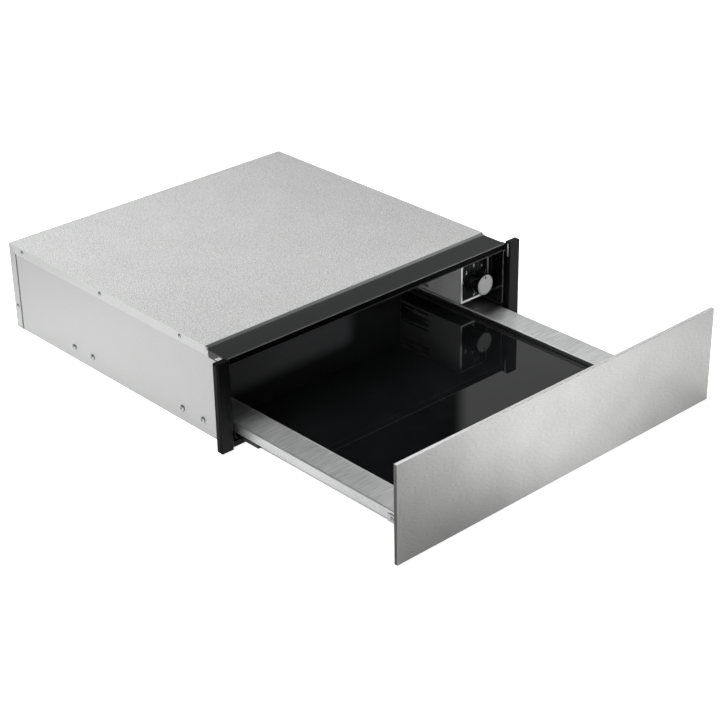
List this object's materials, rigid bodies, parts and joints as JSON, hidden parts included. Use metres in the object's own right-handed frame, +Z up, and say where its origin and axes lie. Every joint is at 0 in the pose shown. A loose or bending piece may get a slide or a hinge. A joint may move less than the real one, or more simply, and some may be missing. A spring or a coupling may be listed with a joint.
{
  "type": "warming drawer",
  "caption": "Built-in warming drawer: sheet-steel casing, black frame, ball slides, glass-based drawer with a flat brushed front, and a dial and rocker in a heated control box.",
  "frame": {"origin": "on the underside, midway across the width, in the plane where the cabinet's front edge meets the folds behind the posts", "axes": "+X to the right seen from the front, +Y from the front to the rear, +Z up; the drawer is drawn out along -Y"},
  "size_m": [0.594, 0.8785, 0.141],
  "materials": {
    "galvanised": "satin",
    "zinc_fasteners": "satin",
    "dark_fasteners": "satin",
    "black_band": "satin",
    "black_post": "satin",
    "black_gloss": "gloss",
    "stainless_front": "brushed",
    "stainless_rail": "brushed",
    "stainless_box": "satin",
    "slide_steel": "satin",
    "cage_steel": "satin",
    "black_glass": "gloss",
    "black_rubber": "matt",
    "black_plastic": "matt",
    "knob_black": "gloss",
    "knob_metal": "spun",
    "rocker_grey": "gloss",
    "ivory_plastic": "matt",
    "white_plastic": "matt",
    "aluminium_block": "satin",
    "mineral_board": "matt"
  },
  "bodies": {
    "casing": {"casing_shell": "galvanised", "top_cover": "galvanised", "rear_panel": "galvanised", "cover_screws": "dark_fasteners", "rear_screws": "dark_fasteners", "front_band": "black_band", "corner_tabs": "galvanised", "left_post": "black_post", "right_post": "black_post", "post_clips": "zinc_fasteners", "front_sill": "black_post", "liner_top": "black_gloss", "liner_left": "black_gloss", "liner_right": "black_gloss", "top_insulation": "mineral_board", "slide_outer_left": "slide_steel", "slide_outer_right": "slide_steel", "slide_brackets": "galvanised", "runner_screws": "zinc_fasteners", "control_housing": "stainless_box", "control_fascia": "black_glass", "regulator": "ivory_plastic", "switch_body": "black_plastic", "rocker_pin": "zinc_fasteners", "fan_frame": "black_plastic", "fan_motor": "dark_fasteners", "heater": "aluminium_block", "thermal_cutout": "aluminium_block", "junction_box": "black_plastic", "terminal_block": "ivory_plastic", "cord_gland": "black_plastic", "loom": "black_plastic", "loom_clips": "galvanised", "latch_body": "white_plastic"},
    "drawer": {"drawer_tray": "galvanised", "tray_board": "mineral_board", "glass_base": "black_glass", "glass_seal": "black_rubber", "left_rail": "stainless_rail", "right_rail": "stainless_rail", "drawer_back": "black_gloss", "front_panel": "stainless_front", "panel_core": "black_plastic", "panel_brackets": "zinc_fasteners", "bracket_screws": "zinc_fasteners", "bumpers": "black_rubber", "striker": "zinc_fasteners", "slide_inner_left": "slide_steel", "slide_inner_right": "slide_steel"},
    "knob_set": {"knob": "knob_black", "knob_cap": "knob_metal", "knob_spindle": "zinc_fasteners"},
    "rocker_key": {"rocker": "rocker_grey"},
    "fan_rotor": {"fan_impeller": "black_plastic"},
    "plunger": {"latch_plunger": "black_plastic"},
    "cage_left": {"ball_cage_left": "cage_steel"},
    "cage_right": {"ball_cage_right": "cage_steel"}
  },
  "joints": [
    {"name": "drawer_slide", "type": "slide", "parent": "casing", "child": "drawer", "axis": [0, -1, 0], "range_m": [-0.34, 0]},
    {"name": "cage_left_slide", "type": "slide", "parent": "casing", "child": "cage_left", "axis": [0, -1, 0], "range_m": [-0.17, 0]},
    {"name": "cage_right_slide", "type": "slide", "parent": "casing", "child": "cage_right", "axis": [0, -1, 0], "range_m": [-0.17, 0]},
    {"name": "knob_turn", "type": "hinge", "parent": "casing", "child": "knob_set", "pos_m": [0.2291, 0.02, 0.076], "axis": [0, 1, 0], "range_deg": [-178, 75]},
    {"name": "rocker_tilt", "type": "hinge", "parent": "casing", "child": "rocker_key", "pos_m": [0.2321, 0.032, 0.1163], "axis": [0, 0, 1], "range_deg": [-12, 0]},
    {"name": "fan_spin", "type": "hinge", "parent": "casing", "child": "fan_rotor", "pos_m": [0.22, 0.1247, 0.0774], "axis": [1, 0, 0], "continuous": true},
    {"name": "latch_push", "type": "slide", "parent": "casing", "child": "plunger", "axis": [0, 1, 0], "range_m": [0, 0.002], "stiffness_N_per_m": 200, "springref_m": -0.003}
  ],
  "couplings": [
    {"joint": "cage_left_slide", "follows": "drawer_slide", "ratio": 0.5},
    {"joint": "cage_right_slide", "follows": "drawer_slide", "ratio": 0.5}
  ]
}
